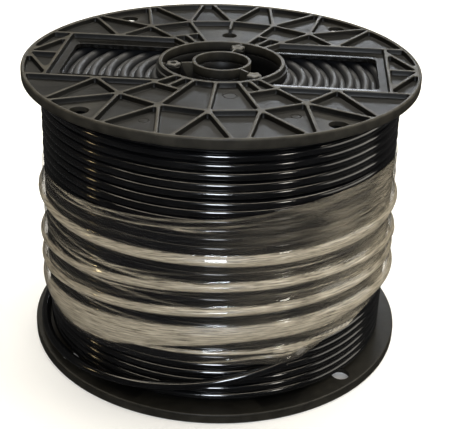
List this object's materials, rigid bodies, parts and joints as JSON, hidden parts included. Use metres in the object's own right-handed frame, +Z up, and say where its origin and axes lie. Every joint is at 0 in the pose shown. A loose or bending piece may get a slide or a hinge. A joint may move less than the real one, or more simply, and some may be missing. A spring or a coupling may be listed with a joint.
{
  "type": "wire spool",
  "caption": "Black plastic wire reel with ribbed, windowed flanges on a hollow barrel, full of insulated wire and held by a band of clear stretch film.",
  "frame": {"origin": "centre of the bottom flange's rim, on the surface that the reel stands on", "axes": "+Z up along the arbor, +X along the two long chord ribs of the top flange"},
  "size_m": [0.24, 0.24, 0.1808],
  "materials": {
    "flange_plastic": "black polystyrene, satin mould texture, paler along worn rib edges",
    "barrel_plastic": "black extruded tube, satin",
    "fastener_steel": "black oxide steel, satin",
    "wire_jacket": "glossy black nylon jacket",
    "film": "clear stretch film, hazy, pulled into ridges"
  },
  "bodies": {
    "root": {"top_flange": "flange_plastic", "bottom_flange": "flange_plastic", "barrel_tube": "barrel_plastic", "arbor_tube": "barrel_plastic", "tie_bolt_1": "fastener_steel", "tie_nut_1": "fastener_steel", "tie_bolt_2": "fastener_steel", "tie_nut_2": "fastener_steel", "tie_bolt_3": "fastener_steel", "tie_nut_3": "fastener_steel", "wire_layer_01": "wire_jacket", "wire_layer_02": "wire_jacket", "wire_layer_03": "wire_jacket", "wire_layer_04": "wire_jacket", "wire_layer_05": "wire_jacket", "wire_layer_06": "wire_jacket", "wire_layer_07": "wire_jacket", "wire_layer_08": "wire_jacket", "wire_layer_09": "wire_jacket", "wire_layer_10": "wire_jacket", "wire_layer_11": "wire_jacket", "wire_layer_12": "wire_jacket", "wire_layer_13": "wire_jacket", "wire_layer_14": "wire_jacket", "wire_layer_15": "wire_jacket", "wire_outer_end": "wire_jacket", "stretch_film": "film"}
  },
  "joints": []
}
